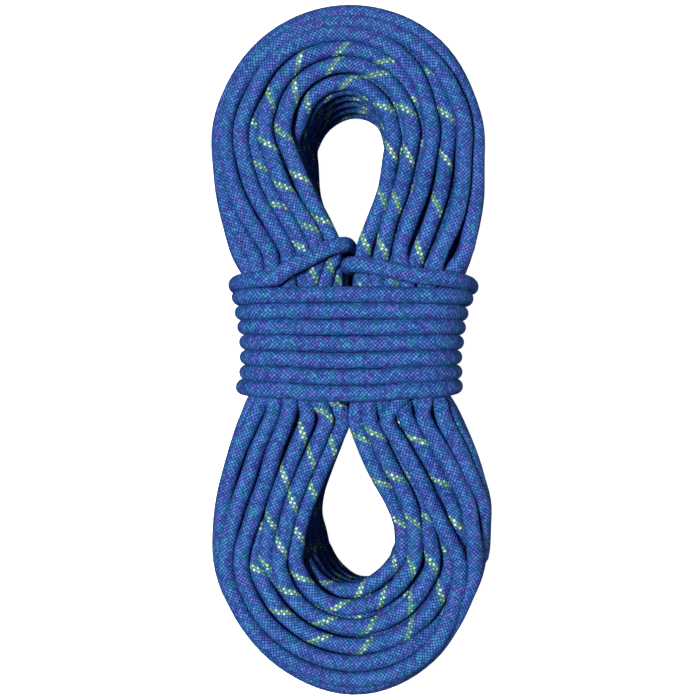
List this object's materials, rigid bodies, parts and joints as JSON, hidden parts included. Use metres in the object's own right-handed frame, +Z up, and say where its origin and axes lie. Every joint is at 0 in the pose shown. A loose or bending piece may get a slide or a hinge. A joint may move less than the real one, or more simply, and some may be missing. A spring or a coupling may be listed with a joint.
{
  "type": "climbing rope",
  "caption": "Dynamic climbing rope put away as a hank: loops drawn in at the waist, wrapped and locked by a bight through the upper eye.",
  "frame": {"origin": "middle of the underside of the hank's box, on the floor that the hank lies on", "axes": "+Y along the hank towards the locking bight and the upper eye, +Z up from the hank's back to its front, +X to the right as seen from the front"},
  "size_m": [0.1758, 0.437, 0.1234],
  "materials": {
    "sheath": "woven melange of blue, teal and violet yarns, half of the rope with yellow tracers",
    "inner_loops": "same woven sheath as the loops outside",
    "kern": "undyed twisted polyamide cord",
    "end_film": "shrunk film, plain"
  },
  "bodies": {
    "root": {"outer_loops": "sheath", "loop_core": "inner_loops", "waist_wraps": "sheath", "locking_bight": "sheath", "tail_rope": "sheath", "tail_sleeve": "end_film", "start_sheath": "sheath", "start_sleeve": "end_film", "kern_cord_1": "kern", "kern_cord_2": "kern", "kern_cord_3": "kern", "kern_cord_4": "kern", "kern_cord_5": "kern", "kern_cord_6": "kern", "kern_cord_7": "kern", "kern_cord_8": "kern", "kern_cord_9": "kern", "kern_cord_10": "kern", "kern_cord_11": "kern", "kern_cord_12": "kern"}
  },
  "joints": []
}
